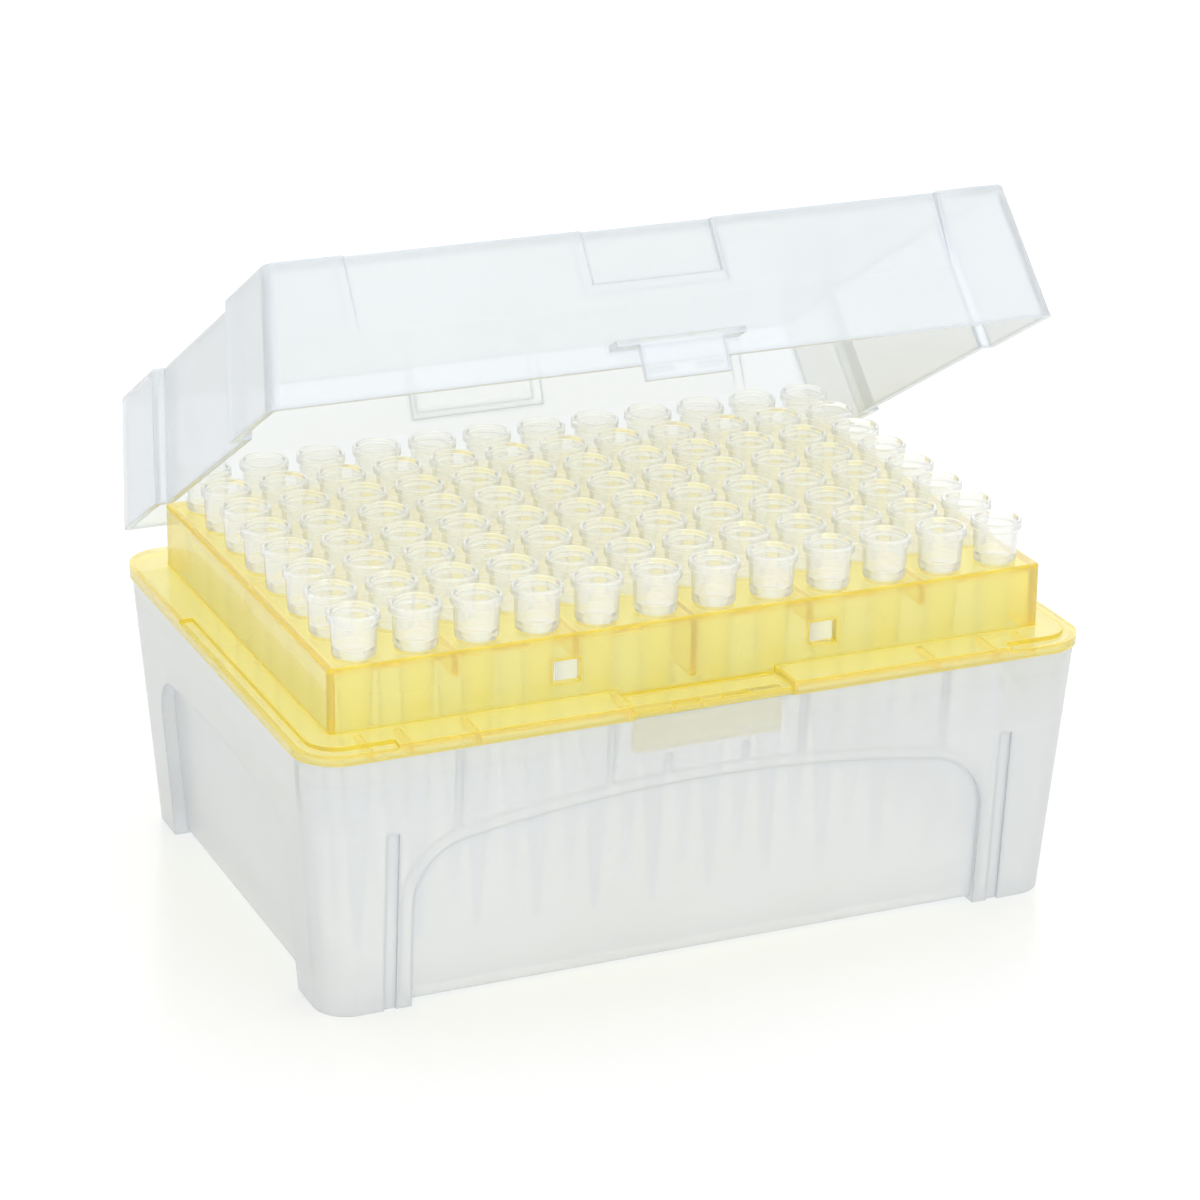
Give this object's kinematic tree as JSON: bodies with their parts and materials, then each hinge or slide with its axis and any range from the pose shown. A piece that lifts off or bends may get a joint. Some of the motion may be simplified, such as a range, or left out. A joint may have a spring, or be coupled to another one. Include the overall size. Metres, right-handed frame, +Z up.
{
  "type": "pipette tip box",
  "caption": "Hinged-lid laboratory box: translucent base on four feet, yellow perforated tray and clear pipette tips hanging in rows, with its lid half open.",
  "frame": {"origin": "on the surface that the box stands on, below the centre of the base; the flat underside of the base's floor is 0.8 mm above it", "axes": "+X along the long side, +Y towards the hinge at the back, +Z up; the latch is at -Y"},
  "size_m": [0.1208, 0.0942, 0.1027],
  "materials": {
    "base_plastic": "frosted translucent polypropylene",
    "tray_plastic": "translucent yellow polypropylene",
    "lid_plastic": "frosted clear polypropylene",
    "tip_plastic": "clear polypropylene"
  },
  "bodies": {
    "box": {"base": "base_plastic", "tip_tray": "tray_plastic", "tips_column_01": "tip_plastic", "tips_column_02": "tip_plastic", "tips_column_03": "tip_plastic", "tips_column_04": "tip_plastic", "tips_column_05": "tip_plastic", "tips_column_06": "tip_plastic", "tips_column_07": "tip_plastic", "tips_column_08": "tip_plastic", "tips_column_09": "tip_plastic", "tips_column_10": "tip_plastic", "tips_column_11": "tip_plastic", "tips_column_12": "tip_plastic"},
    "lid": {"lid": "lid_plastic"}
  },
  "joints": [
    {"name": "lid_hinge", "type": "hinge", "parent": "box", "child": "lid", "pos_m": [0, 0.0474, 0.03995], "axis": [-1, 0, 0], "range_deg": [-30.3, 79.7]}
  ]
}
